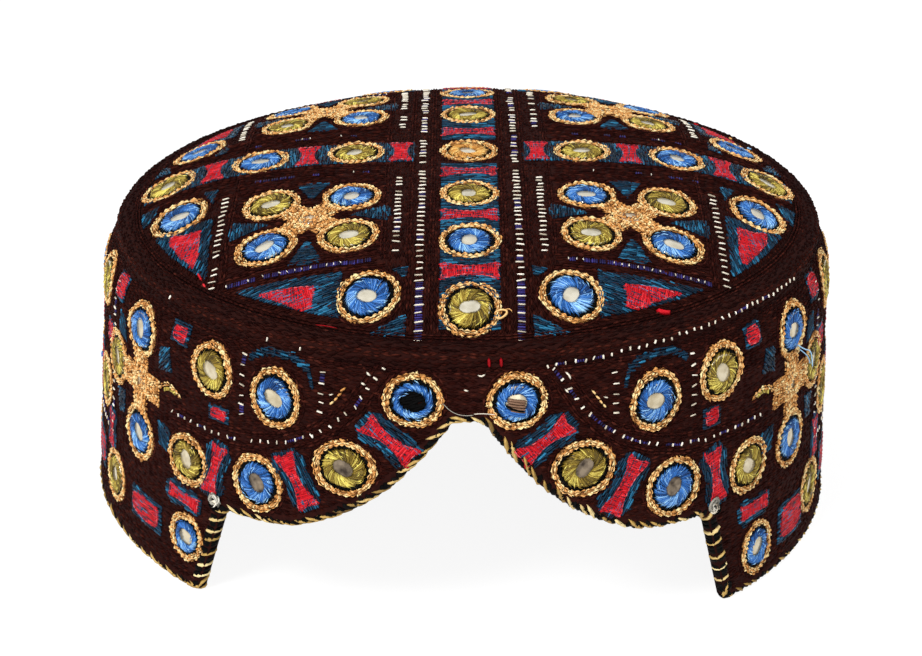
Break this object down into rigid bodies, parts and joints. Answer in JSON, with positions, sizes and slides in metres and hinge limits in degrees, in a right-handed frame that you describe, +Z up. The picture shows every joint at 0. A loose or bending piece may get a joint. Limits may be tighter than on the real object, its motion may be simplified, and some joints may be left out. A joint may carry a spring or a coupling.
{
  "type": "embroidered cap",
  "caption": "Stiff round cap of mirror-work embroidery, with a low domed crown, an upright side band and a scalloped cut-out over the brow.",
  "frame": {"origin": "middle of the cap's whole length and width, on the surface it stands on; the round of the wall is centred 1.54 mm in front of it", "axes": "+Z up through the crown, -Y out of the cut-out front, +X to the right seen from the front"},
  "size_m": [0.1876, 0.1844, 0.0861],
  "materials": {
    "embroidered_cloth": "dense ribbed maroon thread with satin-stitched blue, olive, red and gold motifs",
    "roll_cloth": "matt dark maroon couched thread",
    "edge_thread": "thick overcast yellow and black thread",
    "mirror_glass": "small hand-cut silvered glass discs"
  },
  "bodies": {
    "root": {"crown_top": "embroidered_cloth", "crown_roll": "roll_cloth", "side_band": "embroidered_cloth", "front_binding": "edge_thread", "rim_binding": "edge_thread", "crown_mirror_middle": "mirror_glass", "crown_mirror_front_1": "mirror_glass", "crown_mirror_back_1": "mirror_glass", "crown_mirror_left_1": "mirror_glass", "crown_mirror_right_1": "mirror_glass", "crown_mirror_front_2": "mirror_glass", "crown_mirror_back_2": "mirror_glass", "crown_mirror_left_2": "mirror_glass", "crown_mirror_right_2": "mirror_glass", "crown_mirror_front_3": "mirror_glass", "crown_mirror_back_3": "mirror_glass", "crown_mirror_left_3": "mirror_glass", "crown_mirror_right_3": "mirror_glass", "flower_front_left_middle": "mirror_glass", "flower_front_left_near_near": "mirror_glass", "flower_front_left_near_far": "mirror_glass", "flower_front_left_far_near": "mirror_glass", "flower_front_left_far_far": "mirror_glass", "corner_front_left_end": "mirror_glass", "corner_front_left_side": "mirror_glass", "flower_front_right_middle": "mirror_glass", "flower_front_right_near_near": "mirror_glass", "flower_front_right_near_far": "mirror_glass", "flower_front_right_far_near": "mirror_glass", "flower_front_right_far_far": "mirror_glass", "corner_front_right_end": "mirror_glass", "corner_front_right_side": "mirror_glass", "flower_back_left_middle": "mirror_glass", "flower_back_left_near_near": "mirror_glass", "flower_back_left_near_far": "mirror_glass", "flower_back_left_far_near": "mirror_glass", "flower_back_left_far_far": "mirror_glass", "corner_back_left_end": "mirror_glass", "corner_back_left_side": "mirror_glass", "flower_back_right_middle": "mirror_glass", "flower_back_right_near_near": "mirror_glass", "flower_back_right_near_far": "mirror_glass", "flower_back_right_far_near": "mirror_glass", "flower_back_right_far_far": "mirror_glass", "corner_back_right_end": "mirror_glass", "corner_back_right_side": "mirror_glass"}
  },
  "joints": []
}
